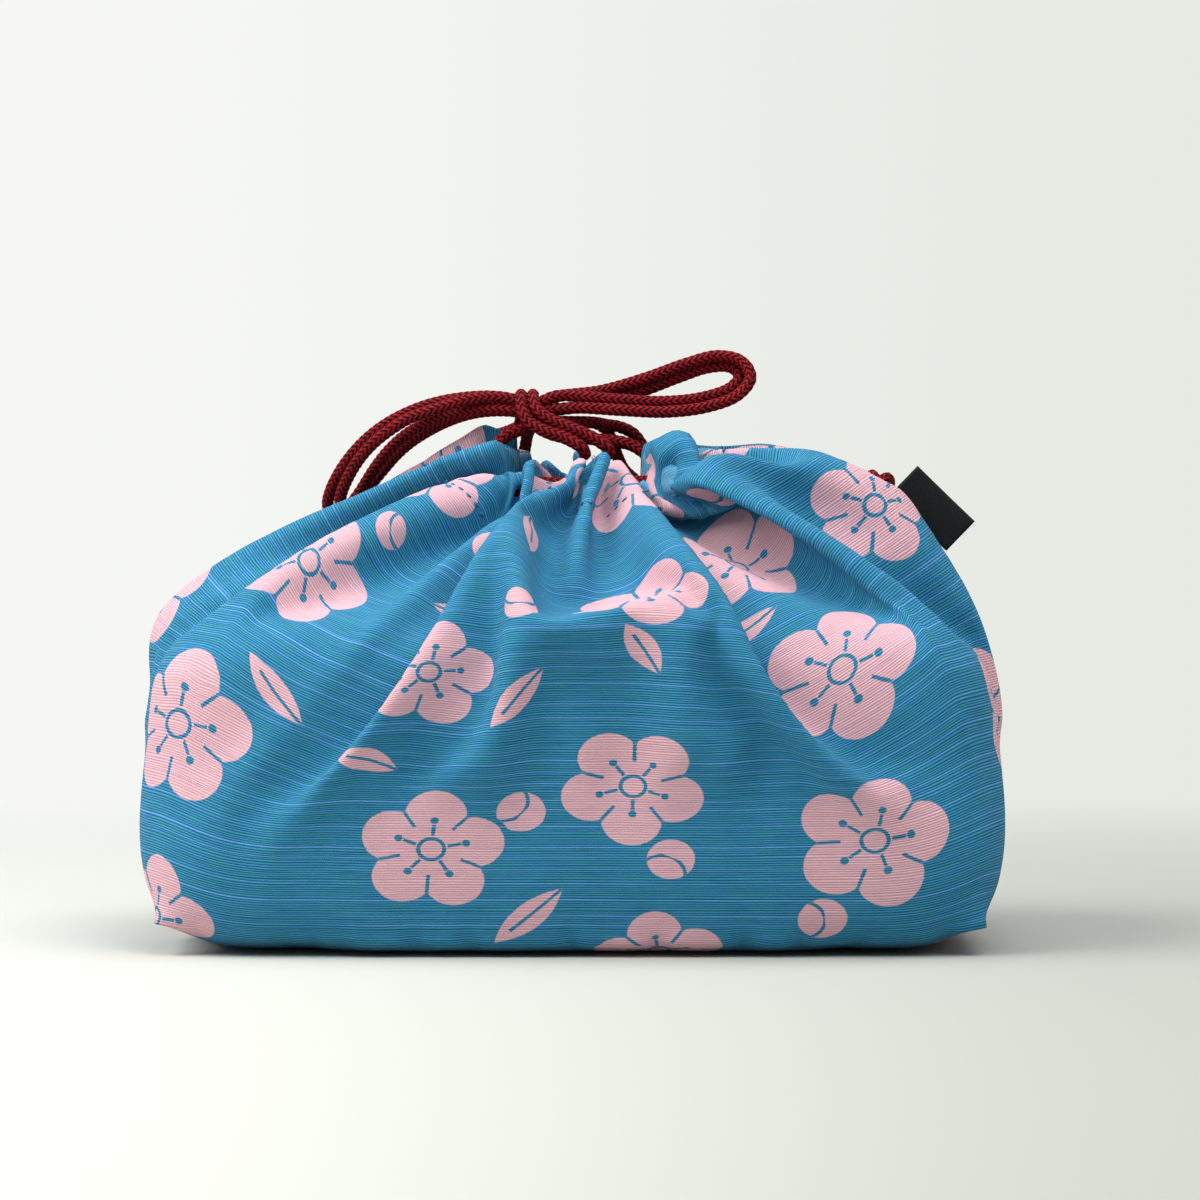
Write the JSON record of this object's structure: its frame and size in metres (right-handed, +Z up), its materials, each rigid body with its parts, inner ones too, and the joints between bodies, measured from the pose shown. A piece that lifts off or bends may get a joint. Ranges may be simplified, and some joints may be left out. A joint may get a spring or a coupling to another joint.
{
  "type": "drawstring lunch bag",
  "caption": "Boxed-base cotton drawstring bag for a lunch box, gathered shut over a cased mouth, its doubled braided cords tied in a bow.",
  "frame": {"origin": "on the surface the bag stands on, under the middle of its base", "axes": "+X to the right as the front is seen, along the bag's length; the front faces -Y; +Z up"},
  "size_m": [0.205, 0.1122, 0.1435],
  "materials": {
    "printed_cotton": "matte slub weave with a pale pink print",
    "seam_tape": "matte cotton tape",
    "label_ribbon": "matte woven ribbon",
    "braided_cord": "matte braid"
  },
  "bodies": {
    "bag": {"front_panel": "printed_cotton", "back_panel": "printed_cotton", "right_seam_tape": "seam_tape", "left_seam_tape": "seam_tape", "base_seam_tape": "seam_tape", "right_corner_tape": "seam_tape", "left_corner_tape": "seam_tape", "left_cord_casing_run": "braided_cord", "right_cord_casing_run": "braided_cord"},
    "label": {"label": "label_ribbon"},
    "knot": {"bow_knot": "braided_cord", "left_lead_front": "braided_cord", "left_lead_rear": "braided_cord", "right_lead_front": "braided_cord", "right_lead_rear": "braided_cord"},
    "right_loop": {"right_loop_outer": "braided_cord", "right_loop_inner": "braided_cord"},
    "left_loop": {"left_loop_front": "braided_cord", "left_loop_rear": "braided_cord"},
    "right_tail": {"right_tail_front": "braided_cord", "right_tail_rear": "braided_cord", "right_end_knot": "braided_cord"},
    "left_tail": {"left_tail_front": "braided_cord", "left_tail_rear": "braided_cord", "left_end_knot": "braided_cord"}
  },
  "joints": [
    {"name": "bow_lift", "type": "slide", "parent": "bag", "child": "knot", "axis": [0, 0, 1], "range_m": [0, 0.012]},
    {"name": "label_flap", "type": "hinge", "parent": "bag", "child": "label", "pos_m": [0.08771, 0, 0.10416], "axis": [0.7179, 0, -0.6961], "range_deg": [-60, 60]},
    {"name": "right_loop_swing", "type": "hinge", "parent": "knot", "child": "right_loop", "pos_m": [-0.0045, -0.001, 0.1335], "axis": [0, -1, 0], "range_deg": [-4, 40]},
    {"name": "left_loop_swing", "type": "hinge", "parent": "knot", "child": "left_loop", "pos_m": [-0.0155, -0.001, 0.1335], "axis": [0, 1, 0], "range_deg": [0, 40]},
    {"name": "right_tail_swing", "type": "hinge", "parent": "knot", "child": "right_tail", "pos_m": [-0.0045, 0.0025, 0.1254], "axis": [0, 0, 1], "range_deg": [0, 25]},
    {"name": "left_tail_swing", "type": "hinge", "parent": "knot", "child": "left_tail", "pos_m": [-0.01, 0.0032, 0.127], "axis": [1, 0, 0], "range_deg": [0, 45]}
  ]
}
